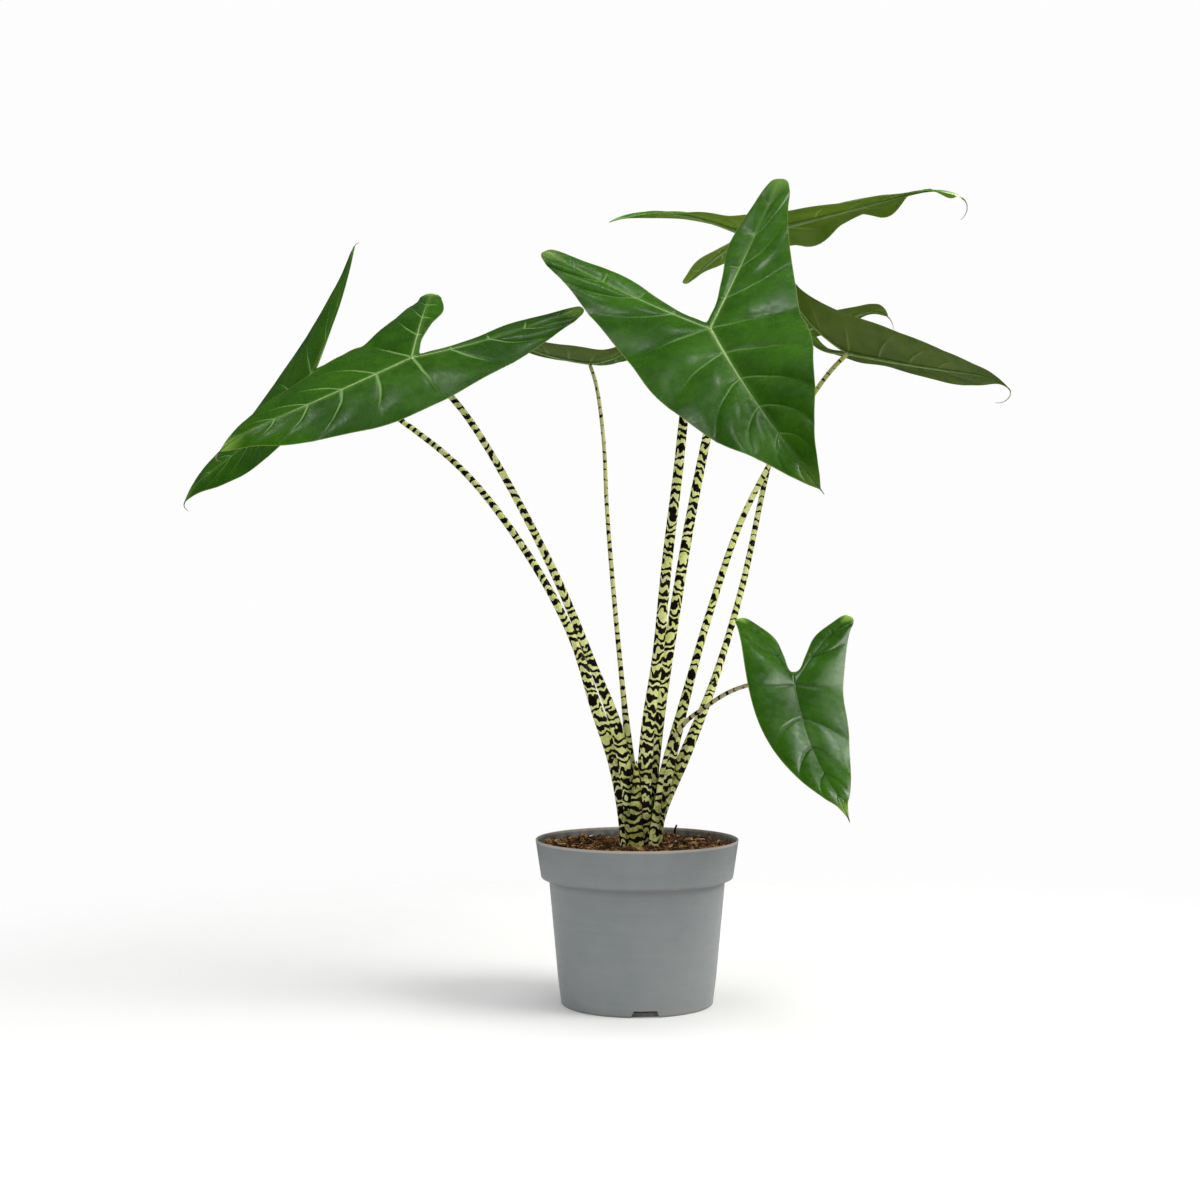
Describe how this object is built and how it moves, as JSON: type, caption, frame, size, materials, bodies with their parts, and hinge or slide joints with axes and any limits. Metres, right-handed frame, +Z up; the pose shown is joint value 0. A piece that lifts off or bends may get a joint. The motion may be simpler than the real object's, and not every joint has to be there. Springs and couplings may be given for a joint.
{
  "type": "potted zebrina alocasia",
  "caption": "Potted zebrina alocasia: arrowhead leaves on zebra-marked stalks rising from one clump in a round grey plastic grower pot filled with peat.",
  "frame": {"origin": "middle of the pot's underside, on the surface that it stands on", "axes": "+Z up along the pot's axis, -Y towards the viewer of the picture, +X to the viewer's right"},
  "size_m": [0.7331, 0.4828, 0.689],
  "materials": {
    "pot_plastic": "satin moulded grey plastic",
    "soil": "coarse moist peat and coir with a little perlite",
    "corm": "fibrous brown stem skin",
    "petiole": "smooth yellow-green stalk with near-black zebra marks",
    "sheath": "thin greenish-yellow sheath leaf",
    "blade": "glossy dark green upper face with pale veins, olive satin underside"
  },
  "bodies": {
    "root": {"pot": "pot_plastic", "soil": "soil", "corm": "corm", "sheath_leaf": "sheath", "petiole_left_front": "petiole", "petiole_left_back": "petiole", "petiole_center": "petiole", "petiole_top": "petiole", "petiole_right": "petiole", "petiole_rear": "petiole", "petiole_small_center": "petiole", "petiole_small_right": "petiole", "blade_left_front": "blade", "blade_left_back": "blade", "blade_center": "blade", "blade_top": "blade", "blade_right": "blade", "blade_rear": "blade", "blade_small_center": "blade", "blade_small_right": "blade"}
  },
  "joints": []
}
